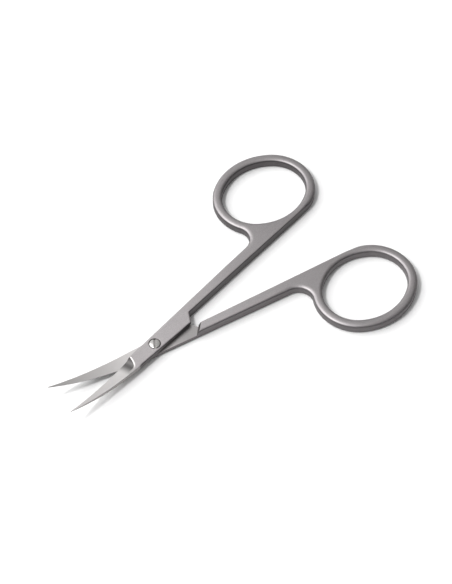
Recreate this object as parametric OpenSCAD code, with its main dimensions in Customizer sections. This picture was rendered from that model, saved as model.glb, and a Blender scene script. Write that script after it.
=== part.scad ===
// Curved cuticle scissors, shown part open as they lie on a table.
// Millimetres. The pivot axis is Z, the rings point along +X and z = 0 is the table.
// Each half is drawn closed, its shank along X, and is then turned open about the pivot.

/* [Steel] */
// thickness of the rings and shanks; each pivot plate is half of it
stock_t = 2.56; // [2.2:0.02:3]
// rounding of the long outer edges
edge_r = 0.34; // [0.2:0.02:0.5]
// rounding of the inner edges, which face each other
inner_r = 0.29; // [0.15:0.02:0.45]
// rounding of the ring, inside and out, and of the fillet
ring_r = 0.8; // [0.5:0.02:0.86]
// running clearance between the two lapped faces
lap_gap = 0.04; // [0.02:0.01:0.08]

/* [Finger rings] */
// length of the oval finger hole
hole_l = 21.4; // [20.6:0.1:22.4]
// width of the oval finger hole
hole_w = 17.8; // [17.2:0.1:18.6]
// radius of the two tighter ends of the oval
hole_end_r = 8; // [7.4:0.1:8.3]
// width of the ring's steel, seen from above
ring_w = 2.2; // [1.8:0.05:2.6]
// centre of the finger hole along the closed scissors
ring_x = 50.06; // [46:0.1:54]
// centre of the finger hole out from the closing line
ring_y = 10.64; // [10:0.05:11.4]
// turn of the oval against the closing line
ring_turn = -10.4; // [-14:0.2:-4]

/* [Shanks] */
// space left between the two shanks when they are closed
shank_gap = 0.24; // [0.1:0.02:0.6]
// where the outer edge of the shank meets the ring's fillet
root_x = 34.6; // [33:0.1:36]
// distance of that point from the closing line
root_y = 2.86; // [2.4:0.05:3.3]
// radius of the fillet between shank and ring
fillet_r = 3.5; // [3:0.1:4.2]

/* [Pivot plates] */
// front of the plate, where the blade begins
plate_front = 6.65; // [6:0.05:7.5]
// half width at the front on the shank side
front_outer = 1.9; // [1.6:0.05:2.2]
// half width at the front on the spine side
front_spine = 1.69; // [1.5:0.05:2.1]
// half width at the back on the spine side
back_spine = 2.2; // [1.9:0.05:2.6]
// back end of the plate, on the closing line
step_x = 11.67; // [11:0.05:12.5]
// angle of the plate's end and of the step it closes on
step_a = 51; // [42:1:62]
// how far the end and the step lean back over half the thickness
step_run = 0.55; // [0.2:0.05:0.9]
// space between plate end and step when closed
step_gap = 0.4; // [0.2:0.05:0.8]

/* [Blades] */
// distance of the tips from the pivot
tip_r = 27; // [24:0.1:29]
// width left at the tips
tip_w = 0.16; // [0.1:0.02:0.3]
// distance from the pivot at which the blades begin to curve up
curve_start = 6.65; // [5.5:0.05:7.5]
// radius of the upward curve
curve_r = 51; // [45:0.5:60]
// bow of the cutting edge over its straight chord
edge_bow = 0.08; // [0:0.01:0.3]
// bow of the spine over its straight chord
spine_bow = 0.17; // [0:0.01:0.3]
// thickness left at the cutting edge
edge_t = 0.09; // [0.05:0.01:0.15]
// angle of the ground face to the mating face
grind_a = 20.6; // [17:0.2:23]
// centre of the ground face's curved end, along the blade
grind_end_x = 9.82; // [9.4:0.02:10.2]
// centre of that curved end, towards the cutting edge
grind_end_y = 1.94; // [1.7:0.02:2.2]
// radius of that curved end on the plate's upper face
grind_end_r = 3.45; // [3:0.05:3.8]
// how far that end slopes in over the plate's thickness
grind_end_run = 1.15; // [0.6:0.05:1.5]

/* [Pivot screw] */
// diameter of the screw head
head_d = 2.54; // [2.4:0.02:3]
// depth of the head's seat below the upper face
head_seat = 0.56; // [0.45:0.01:0.7]
// height of the head from its underside to its rim
head_h = 0.5; // [0.4:0.02:0.56]
// rise of the domed top above the rim
dome_h = 0.2; // [0.1:0.02:0.3]
// width of the driver slot
slot_w = 0.5; // [0.3:0.05:0.7]
// depth of the driver slot below the rim
slot_h = 0.3; // [0.2:0.05:0.4]
// direction of the driver slot on the table
slot_a = 54; // [0:1:180]
// diameter of the plain part that the upper half turns on
journal_d = 1.9; // [1.7:0.05:2.1]
// diameter of the part screwed into the lower half
thread_d = 1.6; // [1.3:0.05:1.65]
// clearance round the journal and under the head
turn_gap = 0.04; // [0.02:0.01:0.1]
// radial clearance round the head
head_gap = 0.08; // [0.05:0.01:0.1]
// radial clearance in the threaded hole
thread_gap = 0.01; // [0:0.005:0.02]
// bevel round the screw's flush lower end
end_bevel = 0.1; // [0.05:0.01:0.3]

/* [Pose] */
// turn of each half away from closed
half_open = 8.75; // [2:0.25:20]

/* [Hidden] */
$fn = 96;

lap_z = stock_t / 2;
slope = (root_y - front_outer) / (root_x + plate_front);
reach = 4;

// centres of the oval's four arcs: two ends on its long axis, two sides on its short axis
end_c = hole_l / 2 - hole_end_r;
side_d = hole_w / 2 - hole_end_r;
side_c = (pow(end_c, 2) - pow(side_d, 2)) / (2 * side_d);
side_r = hole_w / 2 + side_c;
end_half = atan2(side_c, end_c);
far_x = end_c + hole_l * cos(end_half);
far_y = hole_l * sin(end_half);

// place of a point of the closed scissors in the ring's own frame
function in_ring(p) =
    let (d = p - [ring_x, ring_y])
    [d.x * cos(ring_turn) + d.y * sin(ring_turn), d.y * cos(ring_turn) - d.x * sin(ring_turn)];

// the fillet lies against the shank's edge and the ring's end arc
arc_x = ring_x - end_c * cos(ring_turn);
arc_y = ring_y - end_c * sin(ring_turn);
fillet_y = root_y + fillet_r - 0.04;
fillet_d = hole_end_r + ring_w + fillet_r;
fillet_x = arc_x - sqrt(pow(fillet_d, 2) - pow(arc_y - fillet_y, 2));
fillet_at = in_ring([fillet_x, fillet_y]);

// top of the curved mating surface at a distance r from the pivot
function bowl(r) =
    r <= curve_start ? lap_z : lap_z + curve_r - sqrt(pow(curve_r, 2) - pow(r - curve_start, 2));

// plan of the blade: u runs from 0 at the plate to 1 at the tip
function blade_x(u) = -plate_front - u * (tip_r - plate_front);
function edge_y(u) = front_outer * (1 - u) + 4 * edge_bow * u * (1 - u);
function spine_y(u) = -tip_w - (front_spine - tip_w) * (1 - u) - 4 * spine_bow * u * (1 - u);

// points of an edge rounded to radius r about c, going round from angle a0 to a1
function corner(c, r, a0, a1) = [for (i = [0:3]) let (a = a0 + (a1 - a0) * i / 3) c + r * [cos(a), sin(a)]];

// upright wall at x = 0, steel on the left, its edges rounded to r; past is how far it runs on beyond the steel
function wall(r, past) =
    let (
        in = -r * (1 + past * cos(67.5)),
        off = r * past * (1 - sin(67.5))
    )
    concat(
        [[in, -off]],
        corner([-r, r], r, -67.5, 0),
        corner([-r, stock_t - r], r, 0, 67.5),
        [[in, stock_t + off]]
    );

// section of the space beside that wall, out to a distance d
function space(r, d) =
    let (w = wall(r, 0.5))
    concat([[d, -1], [w[0].x, -1]], w, [[w[0].x, stock_t + 1], [d, stock_t + 1]]);

// lays a section drawn as [outward, height] along a line through p at angle a
module run(p, a, length) {
    translate([p.x, p.y, 0])
        rotate([90, 0, 90 + a])
            linear_extrude(height = length)
                children();
}

// takes away what lies to the left of the line from p to q, and rounds the edges left there to r
module trim(p, q, r) {
    run(p, atan2(q.y - p.y, q.x - p.x), norm(q - p))
        polygon(space(r, reach));
}

module at_ring() {
    translate([ring_x, ring_y, 0])
        rotate([0, 0, ring_turn])
            children();
}

// part of a round shape about c that lies between the points a and b
module sector(c, a, b) {
    intersection() {
        translate([c.x, c.y, 0]) children();
        translate([0, 0, -2])
            linear_extrude(height = stock_t + 4)
                polygon([c, a, b]);
    }
}

// the ring's outside and the finger hole, as arcs of radius r from the hole's edge
module disc(r) {
    rotate_extrude()
        polygon(concat([[0, 0]], [for (p = wall(ring_r, 0)) [r + ring_w + p.x, p.y]], [[0, stock_t]]));
}

module plug(r) {
    rotate_extrude()
        polygon([for (p = space(ring_r, r)) [r - p.x, p.y]]);
}

module ring() {
    sector([end_c, 0], [far_x, -far_y], [far_x, far_y]) disc(hole_end_r);
    sector([0, -side_c], [far_x, far_y], [-far_x, far_y]) disc(side_r);
    sector([-end_c, 0], [-far_x, far_y], fillet_at) disc(hole_end_r);
    sector([0, side_c], [0, -far_y], [far_x, -far_y]) disc(side_r);
}

module finger_hole() {
    sector([end_c, 0], [far_x, -far_y], [far_x, far_y]) plug(hole_end_r);
    sector([0, -side_c], [far_x, far_y], [-far_x, far_y]) plug(side_r);
    sector([-end_c, 0], [-far_x, far_y], [-far_x, -far_y]) plug(hole_end_r);
    sector([0, side_c], [-far_x, -far_y], [far_x, -far_y]) plug(side_r);
}

// shank and the solid web that runs into the ring, with the concave fillet between them
module shank_slab() {
    difference() {
        linear_extrude(height = stock_t)
            polygon([
                in_ring([plate_front, -1]), in_ring([plate_front, reach]), in_ring([fillet_x, reach]),
                fillet_at, [-end_c, 0], [end_c, 0], in_ring([ring_x + 1, -1])
            ]);
        translate([fillet_at.x, fillet_at.y, 0])
            rotate([0, 0, -135 - ring_turn])
                rotate_extrude(angle = 175)
                    polygon([for (p = space(ring_r, fillet_r)) [fillet_r - p.x, p.y]]);
    }
}

// outer edge of plate and shank at a distance x along the scissors
function outer_y(x) = front_outer + slope * (x + plate_front);

module handle() {
    difference() {
        at_ring()
            difference() {
                union() {
                    ring();
                    shank_slab();
                }
                finger_hole();
            }
        trim([0, outer_y(0)], [fillet_x + 0.1, outer_y(fillet_x + 0.1)], edge_r);
        trim([ring_x + hole_l, shank_gap / 2], [0, shank_gap / 2], inner_r);
    }
}

// outward position of the plate's leaning end at height z
function step_at(z) = step_run * (z - stock_t) / lap_z;

// the half-thick plate that turns on the other half's plate
module plate() {
    spine_a = atan2(back_spine - front_spine, step_x + plate_front);
    difference() {
        translate([-plate_front, -reach, lap_z])
            cube([plate_front + step_x + 1, 2 * reach, stock_t - lap_z]);
        trim([-plate_front - 1, outer_y(-plate_front - 1)], [step_x + 3, outer_y(step_x + 3)], edge_r);
        trim([step_x, -back_spine], [-plate_front - 1, -front_spine + sin(spine_a)], edge_r);
        run([step_x + reach * cos(step_a), reach * sin(step_a)], step_a + 180, 4 * reach)
            polygon([
                [step_at(0), 0], [step_at(stock_t - edge_r / 2), stock_t - edge_r / 2],
                [-edge_r, stock_t + edge_r / 2], [-edge_r, stock_t + 1], [2 * reach, stock_t + 1], [2 * reach, 0]
            ]);
    }
}

// the space in which the other half's plate lies, up to the sloping step
module lap() {
    run([step_x - 3 * reach * cos(step_a), 3 * reach * sin(step_a)], -step_a, 6 * reach)
        polygon([
            [-12 * reach, -1], [step_gap + edge_r, -1], [step_gap + edge_r, -edge_r / 2],
            [step_gap + step_at(stock_t - edge_r / 2), edge_r / 2],
            [step_gap + step_at(lap_z - lap_gap / 2), lap_z + lap_gap / 2], [-12 * reach, lap_z + lap_gap / 2]
        ]);
}

// one half without its blade
module lapped() {
    difference() {
        union() {
            handle();
            plate();
        }
        lap();
    }
}

// blade seen from above, thick enough to be cut to its curve; the edge is on the +Y side
module blade_plan() {
    steps = [0:1 / 16:1];
    linear_extrude(height = 4 * stock_t)
        polygon(concat(
            [[1 - plate_front, 1 - front_spine], [1 - plate_front, front_outer - 1]],
            [for (u = steps) [blade_x(u), edge_y(u)]],
            [for (u = steps) [blade_x(1 - u), spine_y(1 - u)]]
        ));
}

// steel lying on the curved mating surface: side = 1 above it, side = -1 below it
module blade_shell(side) {
    radii = concat([curve_start - 3], [for (i = [0:10]) curve_start + i * (tip_r + 1 - curve_start) / 10]);
    last = len(radii) - 1;
    rotate([0, 0, 150])
        rotate_extrude(angle = 60)
            polygon(concat(
                [for (i = [0:last]) [radii[i], bowl(radii[i]) + side * lap_gap / 2]],
                [for (i = [0:last]) [radii[last - i], bowl(radii[last - i]) + side * (lap_z - lap_gap)]]
            ));
}

// what the grinding wheel takes off the outer face, from the cutting edge up to the spine
module grind(side) {
    chord_a = atan2(front_outer, tip_r - plate_front);
    mirror([0, 0, side > 0 ? 0 : 1])
        rotate([0, 0, chord_a])
            rotate([90 - grind_a, 0, 0])
                linear_extrude(height = 8 * reach, center = true)
                    polygon(concat(
                        [[-tip_r - 2, 8 * reach], [0, 8 * reach]],
                        [for (i = [-2:17])
                            let (
                                p = [blade_x(i / 16), edge_y(i / 16)],
                                t = p.y * cos(chord_a) - p.x * sin(chord_a),
                                z = side * bowl(norm(p)) + lap_gap / 2 + edge_t
                            )
                            [p.x * cos(chord_a) + p.y * sin(chord_a), t * sin(grind_a) + z * cos(grind_a)]]
                    ));
}

// plan area of the grinding: the blade, and the curved end that it leaves on the plate
module grind_area() {
    translate([-grind_end_x, grind_end_y, lap_z])
        cylinder(h = stock_t, r1 = grind_end_r - grind_end_run, r2 = grind_end_r + grind_end_run);
    translate([-grind_end_x - 2 * tip_r, -tip_r, -5 * stock_t])
        cube([2 * tip_r, 2 * tip_r, 10 * stock_t]);
}

module ground_off(side) {
    intersection() {
        grind(side);
        if (side > 0) {
            grind_area();
        } else {
            translate([0, 0, stock_t])
                mirror([0, 0, 1])
                    grind_area();
        }
    }
}

module blade(side) {
    intersection() {
        blade_plan();
        blade_shell(side);
    }
}

module top_half() {
    color([0.66, 0.65, 0.64])
        rotate([0, 0, half_open])
            difference() {
                union() {
                    lapped();
                    blade(1);
                }
                ground_off(1);
                cylinder(h = 2 * stock_t, d = journal_d + 2 * turn_gap);
                translate([0, 0, stock_t - head_seat])
                    cylinder(h = stock_t, d = head_d + 2 * head_gap);
            }
}

module bottom_half() {
    color([0.62, 0.61, 0.6])
        rotate([0, 0, -half_open])
            difference() {
                union() {
                    translate([0, 0, stock_t])
                        rotate([180, 0, 0])
                            lapped();
                    mirror([0, 1, 0])
                        blade(-1);
                }
                mirror([0, 1, 0])
                    ground_off(-1);
                translate([0, 0, -1])
                    cylinder(h = stock_t + 2, d = thread_d + 2 * thread_gap);
            }
}

module pivot_screw() {
    seat_z = stock_t - head_seat + turn_gap;
    rim_z = seat_z + head_h;
    dome_r = (pow(head_d / 2, 2) + pow(dome_h, 2)) / (2 * dome_h);
    dome_a = asin(head_d / 2 / dome_r);
    color([0.78, 0.77, 0.76])
        difference() {
            rotate_extrude()
                polygon(concat(
                    [
                        [0, 0], [thread_d / 2 - end_bevel, 0],
                        [thread_d / 2, end_bevel], [thread_d / 2, lap_z - lap_gap / 2],
                        [journal_d / 2, lap_z - lap_gap / 2], [journal_d / 2, seat_z], [head_d / 2, seat_z]
                    ],
                    [for (i = [0:8]) let (a = dome_a * (1 - i / 8))
                        [dome_r * sin(a), rim_z + dome_h - dome_r + dome_r * cos(a)]]
                ));
            rotate([0, 0, slot_a])
                translate([-head_d, -slot_w / 2, rim_z - slot_h])
                    cube([2 * head_d, slot_w, stock_t]);
        }
}

top_half();
bottom_half();
pivot_screw();
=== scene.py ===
import math

import bmesh
import bpy
from mathutils import Matrix, Vector


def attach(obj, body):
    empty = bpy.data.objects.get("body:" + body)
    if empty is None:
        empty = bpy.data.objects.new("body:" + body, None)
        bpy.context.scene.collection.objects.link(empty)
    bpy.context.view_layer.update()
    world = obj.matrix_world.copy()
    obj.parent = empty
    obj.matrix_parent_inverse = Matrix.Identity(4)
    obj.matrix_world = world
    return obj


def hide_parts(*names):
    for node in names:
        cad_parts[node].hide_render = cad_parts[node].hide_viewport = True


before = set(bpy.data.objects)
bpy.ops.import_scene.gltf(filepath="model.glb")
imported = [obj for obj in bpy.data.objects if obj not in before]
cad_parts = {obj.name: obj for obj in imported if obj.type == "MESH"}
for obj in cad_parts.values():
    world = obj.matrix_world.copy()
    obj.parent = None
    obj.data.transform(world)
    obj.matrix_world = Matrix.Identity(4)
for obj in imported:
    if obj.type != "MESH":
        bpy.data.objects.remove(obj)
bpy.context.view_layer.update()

# Camera. The scissors were photographed through a long lens, from above and from the tips' side of the lower
# half; the place and the lens were fitted to the two finger rings.

camera_data = bpy.data.cameras.new("camera")
camera_data.sensor_width = 36
camera_data.lens = 116.54
camera_data.clip_start = 0.01
camera = bpy.data.objects.new("camera", camera_data)
bpy.context.collection.objects.link(camera)
camera.location = (-0.14310, -0.19791, 0.35509)
looks_at = Vector((0.02327, 0.00277, -0.00092))
camera.rotation_euler = (looks_at - camera.location).to_track_quat("-Z", "Y").to_euler()
bpy.context.scene.camera = camera

# The two halves. Each is one forging of hardened stainless steel: finger ring, shank, pivot plate and blade. It is
# bead-blasted to a grey satin, and then its lap and blade are ground bright. Both come from one die: the lower
# half is turned over, its blade is ground the other way, and the screw joins the two.


def linear(hex_colour):
    """sRGB hex colour as the linear RGBA that Blender's sockets take."""
    parts = [int(hex_colour[i:i + 2], 16) / 255 for i in (1, 3, 5)]
    return [p / 12.92 if p <= 0.04045 else ((p + 0.055) / 1.055) ** 2.4 for p in parts] + [1.0]


def add(tree, kind, inputs=None, **settings):
    """Adds a node with its settings; an input is a plain value, or the socket that it is linked to."""
    node = tree.nodes.new(kind)
    for name, value in settings.items():
        setattr(node, name, value)
    for key, value in (inputs or {}).items():
        if isinstance(value, bpy.types.NodeSocket):
            tree.links.new(value, node.inputs[key])
        else:
            node.inputs[key].default_value = value
    return node


def new_material(name):
    material = bpy.data.materials.new(name)
    material.use_nodes = True
    material.node_tree.nodes.clear()
    return material, material.node_tree


# each half is turned by this from closed, as in the photograph
half_open = 8.75

# painted shade by facing: the light tone's share on faces that look down (0), sideways (0.5) and up (1);
# the sides are painted dark, darkest on the roundings above and below them
shade_by_facing = (
    (0.01, 1.0), (0.03, 0.05), (0.30, 0.0), (0.48, 0.16), (0.62, 0.0), (0.78, 0.16), (0.95, 1.0),
)


def steel_nodes(tree, place, normal, colour, roughness, side_shade_tones=("#464344", "#565354")):
    """Steel in its light tone where it faces up or down, and painted shade on its sides and their roundings, by
    which way each face looks.
    """
    facing = add(tree, "ShaderNodeSeparateXYZ", {0: add(tree, "ShaderNodeNewGeometry").outputs["Normal"]})
    height = add(tree, "ShaderNodeMath", {0: facing.outputs["Z"], 1: 0.5, 2: 0.5}, operation="MULTIPLY_ADD")
    # painted shade: how much of the light tone each face takes, by which way it looks
    facing_shade = add(tree, "ShaderNodeValToRGB", {0: height.outputs[0]})
    ramp = facing_shade.color_ramp
    ramp.interpolation = "EASE"
    ramp.elements.remove(ramp.elements[1])
    for i, (at, share) in enumerate(shade_by_facing):
        stop = ramp.elements[0] if i == 0 else ramp.elements.new(at)
        stop.position, stop.color = at, (share, share, share, 1)
    # the painted shade on the sides is patchy, about 2.5 mm across
    patches = add(tree, "ShaderNodeTexNoise", {"Vector": place, "Scale": 1 / 0.0025, "Detail": 3.0})
    dark = add(tree, "ShaderNodeMix", {
        0: patches.outputs["Fac"], 6: linear(side_shade_tones[0]), 7: linear(side_shade_tones[1]),
    }, data_type="RGBA")
    tone = add(tree, "ShaderNodeMix", {
        0: facing_shade.outputs[0], 6: dark.outputs[2], 7: colour,
    }, data_type="RGBA")
    steel = add(tree, "ShaderNodeBsdfPrincipled", {
        "Base Color": tone.outputs[2], "Metallic": 1.0, "Roughness": roughness, "Normal": normal,
    })
    add(tree, "ShaderNodeOutputMaterial", {"Surface": steel.outputs[0]})


def blasted_steel(name, turn, side_shade_tones):
    """Bead-blasted stainless steel: matt and neutral grey, with a faint grain along the shank."""
    material, tree = new_material(name)
    place = add(tree, "ShaderNodeTexCoord").outputs["Object"]
    # beads of 0.1 mm leave dimples, drawn twice as coarse so that they show
    dimples = add(tree, "ShaderNodeTexNoise", {"Vector": place, "Scale": 1 / 0.0002, "Detail": 3.0})
    # tumbling leaves cloudy patches about 6 mm across
    clouds = add(tree, "ShaderNodeTexNoise", {"Vector": place, "Scale": 1 / 0.006, "Detail": 2.0})
    # the blank's rolled grain: lines 0.25 mm apart and 6 mm long
    grain_place = add(tree, "ShaderNodeMapping", {
        "Vector": place, "Rotation": (0, 0, math.radians(-turn)),
        "Scale": (1 / 0.006, 1 / 0.00025, 1 / 0.0006),
    })
    grain = add(tree, "ShaderNodeTexNoise", {"Vector": grain_place.outputs[0], "Scale": 1.0, "Detail": 2.0})
    tone = add(tree, "ShaderNodeMix", {
        0: clouds.outputs["Fac"], 6: linear("#a6a2a3"), 7: linear("#b2aeaf"),
    }, data_type="RGBA")
    lined = add(tree, "ShaderNodeMix", {
        0: grain.outputs["Fac"], 6: tone.outputs[2], 7: linear("#a6a2a3"),
    }, data_type="RGBA")
    # the dimples' bottoms are darker
    spots = add(tree, "ShaderNodeMapRange", {
        "Value": dimples.outputs["Fac"], "From Min": 0.35, "From Max": 0.65, "To Min": 0.88, "To Max": 1.08,
    })
    # painted light and shade: brighter about the pivot, and darker from 3 mm to 45 mm away, as the reflected light
    # falls off
    away = add(tree, "ShaderNodeVectorMath", {0: place}, operation="LENGTH")
    pivot_light_falloff = add(tree, "ShaderNodeMapRange", {
        "Value": away.outputs["Value"], "From Min": 0.003, "From Max": 0.045,
        "To Min": 1.26, "To Max": 0.90,
    })
    share = add(tree, "ShaderNodeMath", {0: spots.outputs[0], 1: pivot_light_falloff.outputs[0]}, operation="MULTIPLY")
    speckled = add(tree, "ShaderNodeVectorMath", {
        0: lined.outputs[2], "Scale": share.outputs[0],
    }, operation="SCALE")
    roughness = add(tree, "ShaderNodeMapRange", {
        "Value": dimples.outputs["Fac"], "From Min": 0.3, "From Max": 0.7, "To Min": 0.46, "To Max": 0.56,
    })
    dents = add(tree, "ShaderNodeMath", {
        0: grain.outputs["Fac"], 1: 0.4, 2: dimples.outputs["Fac"],
    }, operation="MULTIPLY_ADD")
    # corners worn to a radius of 0.08 mm
    worn = add(tree, "ShaderNodeBevel", {"Radius": 0.00008}, samples=6)
    bump = add(tree, "ShaderNodeBump", {
        "Height": dents.outputs[0], "Strength": 0.10, "Distance": 0.00004, "Normal": worn.outputs[0],
    })
    steel_nodes(tree, place, bump.outputs[0], speckled.outputs[0], roughness.outputs[0], side_shade_tones)
    return material


def ground_steel(name, turn, painted_hollow_shade=False):
    """Ground stainless steel: brighter than the blasted faces, with fine lines across the blade."""
    material, tree = new_material(name)
    place = add(tree, "ShaderNodeTexCoord").outputs["Object"]
    # the wheel's marks: lines 0.1 mm apart and 3 mm long, across the blade
    line_place = add(tree, "ShaderNodeMapping", {
        "Vector": place, "Rotation": (0, 0, math.radians(-turn - 12)),
        "Scale": (1 / 0.0001, 1 / 0.003, 1 / 0.003),
    })
    lines = add(tree, "ShaderNodeTexNoise", {"Vector": line_place.outputs[0], "Scale": 1.0, "Detail": 3.0})
    # hand pressure on the wheel leaves clouds of 4 mm
    clouds = add(tree, "ShaderNodeTexNoise", {"Vector": place, "Scale": 1 / 0.004, "Detail": 2.0})
    tone = add(tree, "ShaderNodeMix", {
        0: clouds.outputs["Fac"], 6: linear("#dad7d6"), 7: linear("#e4e1e0"),
    }, data_type="RGBA")
    roughness = add(tree, "ShaderNodeMapRange", {
        "Value": lines.outputs["Fac"], "From Min": 0.3, "From Max": 0.7, "To Min": 0.34, "To Max": 0.40,
    })
    worn = add(tree, "ShaderNodeBevel", {"Radius": 0.00006}, samples=6)
    bump = add(tree, "ShaderNodeBump", {
        "Height": lines.outputs["Fac"], "Strength": 0.04, "Distance": 0.000006, "Normal": worn.outputs[0],
    })
    # distance behind the pivot, along the shank
    shank_way = (math.cos(math.radians(turn)), math.sin(math.radians(turn)), 0)
    behind = add(tree, "ShaderNodeVectorMath", {0: place, 1: shank_way}, operation="DOT_PRODUCT")
    # painted shade: the lap darkens from 4 mm before the pivot to 9 mm behind it, where the other half's plate
    # shades it
    lap_shade = add(tree, "ShaderNodeMapRange", {
        "Value": behind.outputs["Value"], "From Min": -0.004, "From Max": 0.009,
        "To Min": 1.0, "To Max": 0.62,
    }, interpolation_type="SMOOTHSTEP")
    colour = add(tree, "ShaderNodeVectorMath", {
        0: tone.outputs[2], "Scale": lap_shade.outputs[0],
    }, operation="SCALE").outputs[0]
    if painted_hollow_shade:
        # painted shade: the outer face darkens from 10.8 mm to 8.2 mm before the pivot, across the hollow,
        # and is lighter again on the corner above, 1.08 to 1.18 mm from the lap
        hollow_shade = add(tree, "ShaderNodeMapRange", {
            "Value": behind.outputs["Value"], "From Min": -0.0108, "From Max": -0.0082,
            "To Min": 1.0, "To Max": 0.20,
        }, interpolation_type="SMOOTHSTEP")
        from_lap = add(tree, "ShaderNodeMath", {
            0: add(tree, "ShaderNodeSeparateXYZ", {0: place}).outputs["Z"], 1: lap_z / 1000,
        }, operation="SUBTRACT")
        from_lap = add(tree, "ShaderNodeMath", {0: from_lap.outputs[0]}, operation="ABSOLUTE")
        corner = add(tree, "ShaderNodeMapRange", {
            "Value": from_lap.outputs[0], "From Min": 0.00108, "From Max": 0.00118,
            "To Min": 0.0, "To Max": 0.7,
        }, interpolation_type="SMOOTHSTEP")
        shade = add(tree, "ShaderNodeMath", {
            0: hollow_shade.outputs[0], 1: corner.outputs[0],
        }, operation="MAXIMUM")
        colour = add(tree, "ShaderNodeVectorMath", {
            0: colour, "Scale": shade.outputs[0],
        }, operation="SCALE").outputs[0]
    steel_nodes(tree, place, bump.outputs[0], colour, roughness.outputs[0])
    return material


def shaded_gap_steel(name, dark, light):
    """Steel painted darker, as the shade in recesses and slots, with specks."""
    material, tree = new_material(name)
    place = add(tree, "ShaderNodeTexCoord").outputs["Object"]
    # specks of dust of 0.15 mm
    dust = add(tree, "ShaderNodeTexNoise", {"Vector": place, "Scale": 1 / 0.00015, "Detail": 2.0})
    tone = add(tree, "ShaderNodeMix", {
        0: dust.outputs["Fac"], 6: linear(dark), 7: linear(light),
    }, data_type="RGBA")
    as_cut = add(tree, "ShaderNodeNewGeometry").outputs["Normal"]
    steel_nodes(tree, place, as_cut, tone.outputs[2], 0.45)
    return material


# Shapes are in millimetres, with the half closed, its shank along X and the pivot axis at the origin.
# A half's thickness, the clearance between the lapped faces, and the height at which they meet:
stock_t, lap_gap = 2.56, 0.04
lap_z = stock_t / 2
# how far the edges are rounded: at the plate, on the closing and the outer edge, round the ring and in its hole
edge_r, inner_r, outer_r, ring_r, hole_r = 0.34, 0.29, 0.5, 1.15, 0.95
# the rings are rounded further across than down
most_drop = 0.62

# the outer edge runs straight from the plate's front to the ring
plate_front, ring_start = 6.65, 34.6
plate_out, shank_out = 1.9, 2.86


def line_at(x):
    """Outer edge of plate and shank."""
    return plate_out + (shank_out - plate_out) / (ring_start + plate_front) * (x + plate_front)


def arc(centre, radius, start, end):
    """Points on an arc, its angles in degrees, close enough together to look round."""
    count = max(3, math.ceil(abs(end - start) * (1.2 if radius < 5 else 2.2) / 3))
    angles = [math.radians(start + (end - start) * i / count) for i in range(count + 1)]
    return [Vector((centre[0] + radius * math.cos(a), centre[1] + radius * math.sin(a))) for a in angles]


def straight(start, end):
    """Points along a straight edge, close enough together for its rounding to change along it."""
    start, end = Vector(start), Vector(end)
    count = max(2, math.ceil((end - start).length / 0.8))
    return [start.lerp(end, i / count) for i in range(count + 1)]


def rounded(before, corner, after, radius):
    """The arc of that radius which takes the place of a corner."""
    before, corner, after = Vector(before), Vector(corner), Vector(after)
    a, b = (before - corner).normalized(), (after - corner).normalized()
    half = a.angle(b) / 2
    centre = corner + (a + b).normalized() * radius / math.sin(half)
    first = corner + a * radius / math.tan(half) - centre
    last = corner + b * radius / math.tan(half) - centre
    start, sweep = math.degrees(math.atan2(first.y, first.x)), math.degrees(-first.angle_signed(last))
    return arc(centre, radius, start, start + sweep)


# the finger hole is an oval of four arcs about this centre, and the ring runs round it
ring_at, ring_turn = Vector((50.06, 10.64)), -10.4
# how far the arcs' centres lie from the oval's, and the arcs' radii, at its ends and its sides
end_c, side_c = 2.7, 3.6
end_r, side_r = 8.0, 12.5
ring_w = 2.2
end_half = math.degrees(math.atan2(side_c, end_c))


def from_ring(x, y):
    """A point given along and across the oval."""
    return ring_at + Matrix.Rotation(math.radians(ring_turn), 2) @ Vector((x, y))


def oval_end(side):
    return from_ring(side * end_c, 0)


def oval_side(side):
    return from_ring(0, -side * side_c)


# the closing edge bends into the ring on a small arc instead of a corner
inner_y, bend_r = 0.12, 7.5
bend_centre = oval_side(-1)
bend_dy = inner_y + bend_r - bend_centre.y
bend_dx = math.sqrt((side_r + ring_w - bend_r) ** 2 - bend_dy ** 2)
bend = (bend_centre.x + bend_dx, inner_y + bend_r)
bend_angle = math.degrees(math.atan2(bend_dy, bend_dx))

# the fillet lies against the shank's outer edge and the ring's end
fillet_r = 3.5
along = Vector((1, line_at(1) - line_at(0))).normalized()
across = Vector((-along.y, along.x))
to_ring = oval_end(-1) - Vector((0, line_at(0)))
fillet_up = to_ring.dot(across) - fillet_r
fillet_x = to_ring.dot(along) - math.sqrt((end_r + ring_w + fillet_r) ** 2 - fillet_up ** 2)
fillet = Vector((0, line_at(0))) + along * fillet_x + across * fillet_r
fillet_to_ring = oval_end(-1) - fillet
fillet_start = math.degrees(math.atan2(fillet_to_ring.y, fillet_to_ring.x))
fillet_end = math.degrees(math.atan2(-across.y, -across.x))

# corners of the pivot plate: its slanted back end, and its front, drawn 1 mm too long and cut square later
spine_out = 1.69
notch = (11.69, inner_y)
heel = (9.852, -2.15)
front_spine = (-plate_front - 1, -spine_out + 0.0278)
front_outer = (-plate_front - 1, line_at(-plate_front - 1))

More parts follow.
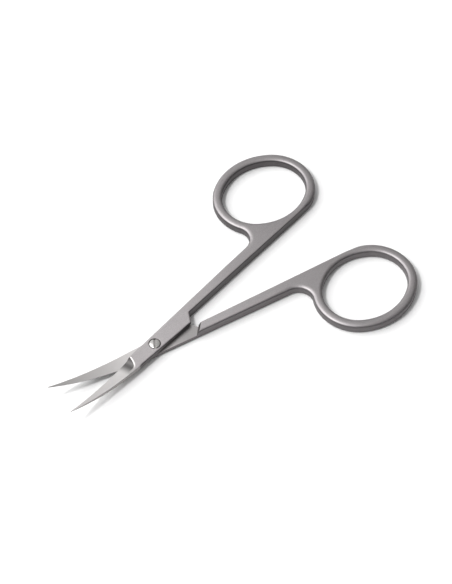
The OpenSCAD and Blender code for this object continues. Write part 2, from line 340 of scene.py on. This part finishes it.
outline = (
    rounded(heel, notch, (30, inner_y), 0.2)
    + straight((bend[0] - 6, inner_y), (bend[0], inner_y))
    + arc(bend, bend_r, -90, bend_angle)
    + arc(oval_side(-1), side_r + ring_w, bend_angle, -end_half + ring_turn)
    + arc(oval_end(1), end_r + ring_w, -end_half + ring_turn, end_half + ring_turn)
    + arc(oval_side(1), side_r + ring_w, end_half + ring_turn, 180 - end_half + ring_turn)
    + arc(oval_end(-1), end_r + ring_w, 180 - end_half + ring_turn, 180 + fillet_start)
    + arc(fillet, fillet_r, fillet_start, fillet_end)
    + straight(fillet - across * fillet_r, fillet - across * fillet_r - along * 8)
    + rounded((0, line_at(0)), front_outer, front_spine, 0.65)
    + rounded(front_outer, front_spine, heel, 0.45)
    + rounded(front_spine, heel, notch, 0.42)
)
hole = (
    arc(oval_end(1), end_r, end_half + ring_turn, -end_half + ring_turn)
    + arc(oval_side(-1), side_r, -end_half + ring_turn, -180 + end_half + ring_turn)
    + arc(oval_end(-1), end_r, 180 + end_half + ring_turn, 180 - end_half + ring_turn)
    + arc(oval_side(1), side_r, 180 - end_half + ring_turn, end_half + ring_turn)
)


def blend(value, low, high):
    """0 at low and 1 at high, easing in between."""
    t = min(max((value - low) / (high - low), 0), 1)
    return t * t * (3 - 2 * t)


def rounding_at(point):
    """How far the edge is rounded: little along the shanks, and fully on the ring."""
    closing, at_ring = point.y < inner_y + 0.01, point.x > 45
    shank_r = outer_r if point.y > inner_y else edge_r
    if closing and point.x > notch[0]:
        shank_r = inner_r
    if closing and not at_ring:
        return shank_r
    # it grows along the small arc on the closing edge, and towards and along the fillet on the outer edge
    grows = (bend[0] - 3, bend[0] + 3) if point.y < 3 and at_ring else (27.5, 35.5)
    return shank_r + (ring_r - shank_r) * blend(point.x, *grows)


def loop_mesh(name, loops):
    """Closed loops as a mesh of edges; each point carries its outward direction and its edge's rounding."""
    points, edges, outward, rounding = [], [], [], []
    for loop in loops:
        kept = [p for i, p in enumerate(loop) if (p - loop[i - 1]).length > 0.002]
        start, n = len(points), len(kept)
        for i, p in enumerate(kept):
            step = (p - kept[i - 1]).normalized() + (kept[(i + 1) % n] - p).normalized()
            points.append((p.x, p.y, 0))
            outward += [step.y / step.length, -step.x / step.length, 0]
            rounding.append(rounding_at(p) if loop is loops[0] else hole_r)
        edges += [(start + i, start + (i + 1) % n) for i in range(n)]
    drop = [min(r, most_drop) for r in rounding]
    mesh = bpy.data.meshes.new(name)
    mesh.from_pydata(points, edges, [])
    mesh.attributes.new("outward", "FLOAT_VECTOR", "POINT").data.foreach_set("vector", outward)
    mesh.attributes.new("rounding", "FLOAT", "POINT").data.foreach_set("value", rounding)
    mesh.attributes.new("drop", "FLOAT", "POINT").data.foreach_set("value", drop)
    return mesh


def rolled_plate():
    """Geometry nodes for a flat forging: its tumbled edge is a rounded section that follows the outline."""
    tree = bpy.data.node_groups.new("rolled_plate", "GeometryNodeTree")
    for name, kind in (
        ("Outline", "NodeSocketGeometry"), ("Thickness", "NodeSocketFloat"), ("Crown", "NodeSocketFloat"),
        ("Edge Steps", "NodeSocketInt"), ("Steel", "NodeSocketMaterial"),
    ):
        tree.interface.new_socket(name, in_out="INPUT", socket_type=kind)
    tree.interface.new_socket("Forging", in_out="OUTPUT", socket_type="NodeSocketGeometry")
    given = add(tree, "NodeGroupInput").outputs
    thickness, crown, steps = given["Thickness"], given["Crown"], given["Edge Steps"]

    def read(name, kind="FLOAT"):
        node = add(tree, "GeometryNodeInputNamedAttribute", {"Name": name}, data_type=kind)
        return next(s for s in node.outputs if s.enabled and s.name == "Attribute")

    def store(geometry, name, value, kind="FLOAT"):
        return add(tree, "GeometryNodeStoreNamedAttribute", {
            "Geometry": geometry, "Name": name, "Value": value,
        }, data_type=kind, domain="POINT").outputs[0]

    position = add(tree, "GeometryNodeInputPosition").outputs[0]
    path = store(given["Outline"], "path", position, "FLOAT_VECTOR")
    path = add(tree, "GeometryNodeMeshToCurve", {0: path})

    # section of the edge: a quarter arc below, one above, and the straight side between them
    count = add(tree, "ShaderNodeMath", {0: steps, 1: 2.0, 2: 2.0}, operation="MULTIPLY_ADD")
    section = add(tree, "GeometryNodeMeshLine", {"Count": count.outputs[0]})
    index = add(tree, "GeometryNodeInputIndex").outputs[0]
    above = add(tree, "ShaderNodeMath", {0: index, 1: steps}, operation="GREATER_THAN").outputs[0]
    back = add(tree, "ShaderNodeMath", {0: index, 1: above}, operation="SUBTRACT")
    share = add(tree, "ShaderNodeMath", {0: back.outputs[0], 1: steps}, operation="DIVIDE")
    angle = add(tree, "ShaderNodeMath", {
        0: share.outputs[0], 1: math.pi / 2, 2: -math.pi / 2,
    }, operation="MULTIPLY_ADD")
    section = store(section.outputs[0], "angle", angle.outputs[0])
    section = store(section, "above", above)
    section = add(tree, "GeometryNodeMeshToCurve", {0: section})
    rim = add(tree, "GeometryNodeCurveToMesh", {
        "Curve": path.outputs[0], "Profile Curve": section.outputs[0],
    })

    # each point of the rim takes its place from the path, its own rounding and its angle on the section
    angle, radius, drop = read("angle"), read("rounding"), read("drop")
    across_by = add(tree, "ShaderNodeMath", {0: angle}, operation="COSINE")
    across_by = add(tree, "ShaderNodeMath", {0: across_by.outputs[0], 1: crown}, operation="POWER")
    up_by = add(tree, "ShaderNodeMath", {0: angle}, operation="SINE")
    up = add(tree, "ShaderNodeMath", {0: up_by.outputs[0]}, operation="ABSOLUTE")
    up = add(tree, "ShaderNodeMath", {0: up.outputs[0], 1: crown}, operation="POWER")
    sign = add(tree, "ShaderNodeMath", {0: up_by.outputs[0]}, operation="SIGN")
    up_by = add(tree, "ShaderNodeMath", {0: up.outputs[0], 1: sign.outputs[0]}, operation="MULTIPLY")
    inward = add(tree, "ShaderNodeMath", {0: across_by.outputs[0], 1: 1.0}, operation="SUBTRACT")
    inward = add(tree, "ShaderNodeMath", {0: inward.outputs[0], 1: radius}, operation="MULTIPLY")
    flat = add(tree, "ShaderNodeVectorMath", {
        0: read("outward", "FLOAT_VECTOR"), "Scale": inward.outputs[0],
    }, operation="SCALE")
    straight_side = add(tree, "ShaderNodeMath", {0: drop, 1: -2.0, 2: thickness}, operation="MULTIPLY_ADD")
    base = add(tree, "ShaderNodeMath", {
        0: read("above"), 1: straight_side.outputs[0], 2: drop,
    }, operation="MULTIPLY_ADD")
    z = add(tree, "ShaderNodeMath", {
        0: up_by.outputs[0], 1: drop, 2: base.outputs[0],
    }, operation="MULTIPLY_ADD")
    lift = add(tree, "ShaderNodeCombineXYZ", {"Z": z.outputs[0]})
    at = add(tree, "ShaderNodeVectorMath", {
        0: read("path", "FLOAT_VECTOR"), 1: flat.outputs[0],
    }, operation="ADD")
    at = add(tree, "ShaderNodeVectorMath", {0: at.outputs[0], 1: lift.outputs[0]}, operation="ADD")
    rim = add(tree, "GeometryNodeSetPosition", {"Geometry": rim.outputs[0], "Position": at.outputs[0]})
    rim = add(tree, "GeometryNodeFlipFaces", {0: rim.outputs[0]})

    # the flat faces fill what the rim leaves open, above and below
    neighbours = add(tree, "GeometryNodeInputMeshEdgeNeighbors").outputs[0]
    is_open = add(tree, "FunctionNodeCompare", {2: neighbours, 3: 1}, data_type="INT", operation="EQUAL")
    is_upper = add(tree, "ShaderNodeMath", {0: read("above"), 1: 0.5}, operation="GREATER_THAN")
    upper = add(tree, "FunctionNodeBooleanMath", {
        0: is_open.outputs[0], 1: is_upper.outputs[0],
    }, operation="AND")
    border = add(tree, "GeometryNodeMeshToCurve", {0: rim.outputs[0], "Selection": upper.outputs[0]})
    face = add(tree, "GeometryNodeFillCurve", {0: border.outputs[0]}, mode="NGONS")
    rise = add(tree, "ShaderNodeCombineXYZ", {"Z": thickness})
    top = add(tree, "GeometryNodeSetPosition", {"Geometry": face.outputs[0], "Offset": rise.outputs[0]})
    bottom = add(tree, "GeometryNodeFlipFaces", {0: face.outputs[0]})
    whole = add(tree, "GeometryNodeJoinGeometry")
    for part in (rim, top, bottom):
        tree.links.new(part.outputs[0], whole.inputs[0])
    whole = add(tree, "GeometryNodeMergeByDistance", {"Geometry": whole.outputs[0], "Distance": 0.0005})
    whole = add(tree, "GeometryNodeRealizeInstances", {0: whole.outputs[0]})
    whole = add(tree, "GeometryNodeSetMaterial", {"Geometry": whole.outputs[0], "Material": given["Steel"]})
    add(tree, "NodeGroupOutput", {0: whole.outputs[0]})
    return tree


def settled(piece):
    """The piece with its modifiers made part of its mesh."""
    bpy.context.view_layer.update()
    evaluated = piece.evaluated_get(bpy.context.evaluated_depsgraph_get())
    mesh = bpy.data.meshes.new_from_object(evaluated)
    piece.modifiers.clear()
    piece.data = mesh
    return piece


def solid(name, points, faces, *steels):
    """A mesh object from points and faces, its faces turned outwards."""
    mesh = bpy.data.meshes.new(name)
    mesh.from_pydata(points, [], faces)
    shape = bmesh.new()
    shape.from_mesh(mesh)
    bmesh.ops.remove_doubles(shape, verts=shape.verts, dist=1e-5)
    bmesh.ops.recalc_face_normals(shape, faces=shape.faces)
    shape.to_mesh(mesh)
    shape.free()
    for steel in steels:
        mesh.materials.append(steel)
    piece = bpy.data.objects.new(name, mesh)
    bpy.context.collection.objects.link(piece)
    return piece


def prism(name, section, placed, length, *steels):
    """A section of [outward, height], drawn out from the point placed[0] at the angle placed[1]."""
    there = Matrix.Translation((*placed[0], 0)) @ Matrix.Rotation(math.radians(placed[1]), 4, "Z")
    near = [there @ Vector((0, out, z)) for out, z in section]
    far = [there @ Vector((length, out, z)) for out, z in section]
    n = len(section)
    faces = [list(range(n)), list(range(2 * n - 1, n - 1, -1))]
    faces += [[i, (i + 1) % n, n + (i + 1) % n, n + i] for i in range(n)]
    return solid(name, near + far, faces, *steels)


def turned(name, profile, steps, *steels):
    """A profile of [radius, height], turned about the pivot axis; it starts and ends on the axis."""
    n = len(profile)
    points = [
        (r * math.cos(2 * math.pi * i / steps), r * math.sin(2 * math.pi * i / steps), z)
        for i in range(steps) for r, z in profile
    ]
    faces = [
        [i * n + k, (i + 1) % steps * n + k, (i + 1) % steps * n + k + 1, i * n + k + 1]
        for i in range(steps) for k in range(n - 1)
    ]
    return solid(name, points, faces, *steels)


def combine(piece, other, operation):
    """Joins another solid to the piece, or cuts with it; the other one is used up."""
    step = piece.modifiers.new("combine", "BOOLEAN")
    step.operation = operation
    step.solver = "MANIFOLD"
    step.object = other
    step.material_mode = "TRANSFER"
    settled(piece)
    bpy.data.objects.remove(other)
    return piece


def moved(piece, matrix):
    """Moves the points themselves, and turns the faces back out where the move mirrors them."""
    piece.data.transform(matrix)
    if matrix.determinant() < 0:
        piece.data.flip_normals()
    return piece


# The blades lie on one bowl about the pivot: flat up to its rim, then curving up on a long radius.
curve_start, curve_r = plate_front, 51.0
tip_r, tip_w = 27.0, 0.16
# how far the cutting edge and the spine bow out between the plate and the tip
edge_bow, spine_bow = 0.08, 0.17
# outer face: thickness at the cutting edge, and slope of the grind
edge_t, grind_a = 0.09, math.radians(20.6)
# the wheel starts to leave the blade here, has risen by 1 mm after wheel_rise, and cuts to just past the face
wheel_leaves, wheel_rise = -8.6, 2.16
face_h = lap_z + 0.004


def bowl(r):
    """Height of the bowl at a distance from the pivot axis."""
    return lap_z if r <= curve_start else lap_z + curve_r - math.sqrt(curve_r ** 2 - (r - curve_start) ** 2)


# along the blade, u is 0 at the plate's front and 1 at the tip
def blade_x(u):
    return -plate_front - u * (tip_r - plate_front)


def cutting_y(u):
    return plate_out * (1 - u) + 4 * edge_bow * u * (1 - u)


def spine_y(u):
    return -tip_w - (spine_out - tip_w) * (1 - u) - 4 * spine_bow * u * (1 - u)


def slab(name, near, far, columns, *steels):
    """A solid between two grids of points, both given row by row."""
    rows, last = len(near) // columns, len(near)
    faces = []
    for i in range(rows - 1):
        start = i * columns
        for a in range(start, start + columns - 1):
            faces += [[a, a + 1, a + columns + 1, a + columns],
                      [last + a + columns, last + a + columns + 1, last + a + 1, last + a]]
        for a in (start, start + columns - 1):
            faces.append([a, a + columns, last + a + columns, last + a])
    for start in (0, last - columns):
        faces += [[a, a + 1, last + a + 1, last + a] for a in range(start, start + columns - 1)]
    return solid(name, near + far, faces, *steels)


def blade(side, *steels):
    """Steel on one side of the bowl, as thick as the plate, from inside the plate to the tip."""
    rows, columns = 96, 20
    near, far = [], []
    for i in range(-6, rows + 1):
        u = i / rows
        # inside the plate the root gets narrower and thinner, so that it is buried
        tuck = max(0, -i) * 0.04
        for k in range(columns + 1):
            v = k / columns
            y = (cutting_y(max(u, 0)) - tuck) * (1 - v) + (spine_y(max(u, 0)) + tuck) * v
            x = blade_x(u)
            mate = bowl(math.hypot(x, y)) + side * lap_gap / 2
            near.append((x, y, mate + side * tuck))
            # the outer side lies 0.003 mm under the plate's, so that the two never share a plane
            far.append((x, y, mate + side * (lap_z - 0.5 * lap_gap - 0.003 - tuck)))
    piece = slab("blade", near, far, columns + 1, *steels)
    # the faces on the bowl take the second steel
    for face in piece.data.polygons:
        middle = face.center
        mate = bowl(math.hypot(middle.x, middle.y)) + side * lap_gap / 2
        face.material_index = 1 if abs(middle.z - mate) < 0.01 and abs(face.normal.z) > 0.8 else 0
    return piece


def wheel(side, steel):
    """What the grinding wheel takes off the outer face: it slopes up from the cutting edge to the spine, and
    rises on the wheel's own radius where it leaves the blade, with the corner up there rounded."""
    grid_x = [-29 + 0.3 * i for i in range(60)] + [-11 + 0.06 * i for i in range(86)]
    grid_y = [-3.4 + 0.1 * k for k in range(67)]
    above = 30
    near, far = [], []
    for x in grid_x:
        edge = cutting_y(max(0, (-plate_front - x) / (tip_r - plate_front)))
        rise = (max(0, x - wheel_leaves) / wheel_rise) ** 3
        # the corner is rounded by 0.06 mm along the spine, and by up to 0.36 mm at the plate
        soft = 0.06 + 0.30 * min(1, rise)
        for y in grid_y:
            height = lap_gap / 2 + edge_t + max((edge - y) * math.tan(grind_a), -0.05) + rise
            if height < face_h + soft:
                share = max(0, 1 - abs(height - face_h) / soft)
                height = min(height, face_h) - share * share * soft / 4
            near.append((x, y, bowl(math.hypot(x, y)) + side * height))
            far.append((x, y, side * above))
    return slab("wheel", near, far, len(grid_y), steel)


# The step of the lap crosses the closing edge here, at this angle in plan. It stands off the other half's end
# by step_gap, and leans back by step_lean over half the thickness.
step_x, step_angle, step_gap, step_lean = 11.67, 51, 0.40, 0.55
# pivot bore of the upper half, threaded hole of the lower one, and the recess for the screw's head
bore_r, thread_r = 0.99, 0.80
recess_r, recess_depth, recess_edge = 1.35, 0.56, 0.08


def from_step(angle, distance):
    """A point at that angle and distance from where the step crosses the closing edge."""
    return step_x + distance * math.cos(math.radians(angle)), distance * math.sin(math.radians(angle))


def half(name, side, side_shade_tones):
    """One half: side is 1 for the upper and -1 for the lower one, and the last argument gives the tones of the
    painted shade on its sides.
    """
    which, turn = ("upper", half_open) if side > 0 else ("lower", -half_open)
    blasted = blasted_steel(f"blasted_stainless_steel_{which}", turn, side_shade_tones)
    # the blade's steel, whose sides take a lighter painted shade
    belted = blasted_steel(f"belted_stainless_steel_{which}", turn, ("#9b9897", "#8e8b8a"))
    ground = ground_steel(f"ground_stainless_steel_{which}", turn)
    # the blade's outer face, with painted shade across its hollow
    scoop = ground_steel(f"hollow_ground_shaded_steel_{which}", turn, painted_hollow_shade=True)

    loops = bpy.data.objects.new(name, loop_mesh(name, [outline, hole]))
    bpy.context.collection.objects.link(loops)
    tree = bpy.data.node_groups.get("rolled_plate") or rolled_plate()
    rolled = loops.modifiers.new("rolled_plate", "NODES")
    rolled.node_group = tree
    sockets = {s.name: s.identifier for s in tree.interface.items_tree if s.in_out == "INPUT"}
    for key, value in (("Thickness", stock_t), ("Crown", 0.9), ("Edge Steps", 12), ("Steel", blasted)):
        rolled[sockets[key]] = value
    piece = settled(loops)
    # the joined mesh brings empty material slots with it
    while None in list(piece.data.materials):
        piece.data.materials.pop(index=list(piece.data.materials).index(None))

    # The cutters reach well past the steel. First the plate's front, square to the blade:
    front = [(-30, -1), (30, -1), (30, 5), (-30, 5)]
    combine(piece, prism("front", front, ((-plate_front - 9, 0), 0), 9, ground), "DIFFERENCE")

    # the lap: half the thickness is milled away up to a step that leans back, its outer edge broken
    lean, lap_face = step_lean / lap_z, lap_z + lap_gap / 2
    lap = [
        (-48, -1), (step_gap + edge_r, -1), (step_gap + edge_r * 0.75, -0.06),
        (step_gap + edge_r * 0.38, 0.0), (step_gap + 0.02, 0.06), (step_gap - lean * 0.20, 0.20),
        (step_gap - lean * lap_face, lap_face), (-48, lap_face),
    ]
    lap = prism("lap", lap, (from_step(180 - step_angle, 20), -step_angle), 40, ground)
    combine(piece, lap, "DIFFERENCE")

    # the plate's own end leans back by as much, to close on the other half's step
    above, below = stock_t - edge_r, lap_z - 0.1
    under = [(-0.62, below), (0.0, above), (4, above), (4, below)]
    under = prism("under", under, (from_step(step_angle, 0.13), 180 + step_angle), 16, ground)
    combine(piece, under, "DIFFERENCE")

    # the lower half is the same blank turned over; its blade and the wheel stay on their side of the bowl
    steel_blade, tool = blade(side, belted, ground), wheel(side, scoop)
    if side < 0:
        moved(piece, Matrix.Translation((0, 0, stock_t)) @ Matrix.Rotation(math.pi, 4, "X"))
        for part in (steel_blade, tool):
            moved(part, Matrix.Scale(-1, 4, (0, 1, 0)))
    combine(piece, steel_blade, "UNION")
    combine(piece, tool, "DIFFERENCE")

    bore = bore_r if side > 0 else thread_r
    combine(piece, turned("bore", [(0, -1), (bore, -1), (bore, 5), (0, 5)], 96, ground), "DIFFERENCE")
    if side > 0:
        floor_z, mouth_r = stock_t - recess_depth, recess_r + recess_edge
        recess = [
            (0, floor_z), (recess_r, floor_z), (recess_r, stock_t - recess_edge), (mouth_r, stock_t),
            (mouth_r, 5), (0, 5),
        ]
        # the recess is painted in shade, with a darker steel
        milled = shaded_gap_steel("recess_shaded_stainless_steel", "#767371", "#9d9a98")
        combine(piece, turned("recess", recess, 128, milled), "DIFFERENCE")
    moved(piece, Matrix.Rotation(math.radians(turn), 4, "Z"))
    return finished(piece)


def finished(piece):
    """Metres, smooth but for corners over 26 degrees, with the flat faces keeping their flat shade."""
    piece.data.transform(Matrix.Scale(0.001, 4))
    shape = bmesh.new()
    shape.from_mesh(piece.data)
    bmesh.ops.remove_doubles(shape, verts=shape.verts, dist=1e-7)
    bmesh.ops.dissolve_degenerate(shape, edges=shape.edges, dist=1e-7)
    shape.to_mesh(piece.data)
    shape.free()
    piece.data.polygons.foreach_set("use_smooth", [True] * len(piece.data.polygons))
    piece.data.set_sharp_from_angle(angle=math.radians(26))
    weighted = piece.modifiers.new("weighted", "WEIGHTED_NORMAL")
    weighted.keep_sharp = True
    return settled(piece)


# painted shade on the upper half's sides, darker than on the lower half's
upper_half = half("upper_half", 1, ("#464344", "#565354"))
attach(upper_half, "upper")
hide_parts("top_half")

# painted shade on the lower half's sides, lighter than on the upper half's
lower_half = half("lower_half", -1, ("#5e5b5c", "#6e6b6c"))
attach(lower_half, "lower")
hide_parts("bottom_half")

# Pivot screw. A turned screw of polished stainless steel, screwed into the lower half from above. Its domed
# head sits in the upper half's recess, and the driver slot is milled across the dome.


def polished_steel(name):
    """Polished stainless steel with faint rings from the lathe."""
    material, tree = new_material(name)
    place = add(tree, "ShaderNodeTexCoord").outputs["Object"]
    # rings 0.08 mm apart, about the pivot axis
    flat = add(tree, "ShaderNodeVectorMath", {0: place, 1: (1, 1, 0)}, operation="MULTIPLY")
    radius = add(tree, "ShaderNodeVectorMath", {0: flat.outputs[0]}, operation="LENGTH")
    rings = add(tree, "ShaderNodeMath", {
        0: radius.outputs["Value"], 1: 2 * math.pi / 0.00008,
    }, operation="MULTIPLY")
    rings = add(tree, "ShaderNodeMath", {0: rings.outputs[0]}, operation="SINE")
    # smears from handling, about 0.4 mm
    smears = add(tree, "ShaderNodeTexNoise", {"Vector": place, "Scale": 1 / 0.0004, "Detail": 2.0})
    roughness = add(tree, "ShaderNodeMapRange", {
        "Value": smears.outputs["Fac"], "From Min": 0.3, "From Max": 0.7, "To Min": 0.14, "To Max": 0.24,
    })
    worn = add(tree, "ShaderNodeBevel", {"Radius": 0.00004}, samples=4)
    bump = add(tree, "ShaderNodeBump", {
        "Height": rings.outputs[0], "Strength": 0.05, "Distance": 0.000004, "Normal": worn.outputs[0],
    })
    steel = add(tree, "ShaderNodeBsdfPrincipled", {
        "Base Color": linear("#d2d0ce"), "Metallic": 1.0, "Roughness": roughness.outputs[0],
        "Normal": bump.outputs[0],
    })
    add(tree, "ShaderNodeOutputMaterial", {"Surface": steel.outputs[0]})
    return material


screw_steel = polished_steel("polished_stainless_steel")
# the slot is painted in shade, with a darker steel
slot_shaded_steel = shaded_gap_steel("slot_shaded_stainless_steel", "#9a9795", "#c8c5c3")
# the head's underside and rim, and the radii of head and journal
seat_z, rim_z = 2.04, 2.54
head_r, journal_r = 1.27, 0.95
# the dome's rise over the rim, the radius of its foot, and its steps
dome_rise, dome_foot, dome_steps = 0.2, 1.17, 16
slot_w, slot_depth, slot_angle = 0.5, 0.3, 54

thread_top = lap_z - lap_gap / 2
shaft = [
    (0, 0.0), (thread_r - 0.10, 0.0), (thread_r, 0.10), (thread_r, thread_top), (journal_r, thread_top),
    (journal_r, seat_z), (head_r - 0.03, seat_z), (head_r, seat_z + 0.03), (head_r, rim_z - 0.08),
    (head_r - 0.02, rim_z - 0.03), (head_r - 0.06, rim_z + 0.01),
]
dome_r = (head_r ** 2 + dome_rise ** 2) / (2 * dome_rise)
dome_sweep = math.asin(dome_foot / dome_r)
angles = [dome_sweep * (1 - i / dome_steps) for i in range(dome_steps + 1)]
dome = [(dome_r * math.sin(a), rim_z + dome_rise - dome_r + dome_r * math.cos(a)) for a in angles]
screw = turned("screw", shaft + dome, 128, screw_steel)

slot_out, slot_floor, slot_turn = slot_w / 2, rim_z - slot_depth, math.radians(slot_angle)
slot = [(-slot_out, slot_floor), (slot_out, slot_floor), (slot_out, 5), (-slot_out, 5)]
slot_start = (-3 * math.cos(slot_turn), -3 * math.sin(slot_turn))
combine(screw, prism("slot", slot, (slot_start, slot_angle), 6, slot_shaded_steel), "DIFFERENCE")
finished(screw)
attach(screw, "lower")
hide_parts("pivot_screw")

# Table and light. The scissors lie on a sheet of matt white board. One small soft box stands up on the left,
# and the white room is brightest up at the left and the back, where it has a window.

board, tree = new_material("matt_white_board")
place = add(tree, "ShaderNodeTexCoord").outputs["Object"]
# fibres of the board, about 0.3 mm
fibres = add(tree, "ShaderNodeTexNoise", {"Vector": place, "Scale": 1 / 0.0003, "Detail": 3.0})
bump = add(tree, "ShaderNodeBump", {"Height": fibres.outputs["Fac"], "Strength": 0.03, "Distance": 0.00003})
paper = add(tree, "ShaderNodeBsdfPrincipled", {
    "Base Color": linear("#fafafa"), "Roughness": 0.9, "Specular IOR Level": 0.1, "Normal": bump.outputs[0],
})
add(tree, "ShaderNodeOutputMaterial", {"Surface": paper.outputs[0]})
floor = solid("table", [(-3, -3, 0), (3, -3, 0), (3, 3, 0), (-3, 3, 0)], [[0, 1, 2, 3]], board)

soft_box_data = bpy.data.lights.new("soft_box", "AREA")
soft_box_data.shape = "RECTANGLE"
soft_box_data.size, soft_box_data.size_y = 0.08, 0.07
soft_box_data.energy = 1.25
soft_box = bpy.data.objects.new("soft_box", soft_box_data)
bpy.context.collection.objects.link(soft_box)
lit = Vector((0.02, 0, 0))
soft_box.location = lit + Vector((-0.50, 0.07, 0.90)).normalized() * 0.55
soft_box.rotation_euler = (lit - soft_box.location).to_track_quat("-Z", "Y").to_euler()

world = bpy.data.worlds.new("studio")
bpy.context.scene.world = world
world.use_nodes = True
tree = world.node_tree
tree.nodes.clear()
direction = add(tree, "ShaderNodeTexCoord").outputs["Generated"]
# the room is brightest up on the left and at the back, and darkest at the right and in front
slope = add(tree, "ShaderNodeVectorMath", {0: direction, 1: (-0.38, 0.50, 0.26)}, operation="DOT_PRODUCT")
room = add(tree, "ShaderNodeMath", {0: slope.outputs["Value"], 1: 0.40}, operation="ADD")
room = add(tree, "ShaderNodeMath", {0: room.outputs[0], 1: 0.08}, operation="MAXIMUM")
# the window fades out from 11 to 35 degrees about its middle
window = add(tree, "ShaderNodeVectorMath", {0: direction, 1: (-0.42, 0.50, 0.757)}, operation="DOT_PRODUCT")
window = add(tree, "ShaderNodeMapRange", {
    "Value": window.outputs["Value"], "From Min": 0.82, "From Max": 0.98, "To Min": 0.0, "To Max": 2.2,
}, interpolation_type="SMOOTHSTEP")
room = add(tree, "ShaderNodeMath", {0: room.outputs[0], 1: window.outputs[0]}, operation="ADD")
sky = add(tree, "ShaderNodeBackground", {"Color": linear("#ffffff"), "Strength": room.outputs[0]})
add(tree, "ShaderNodeOutputWorld", {"Surface": sky.outputs[0]})
bpy.context.scene.view_settings.view_transform = "Standard"
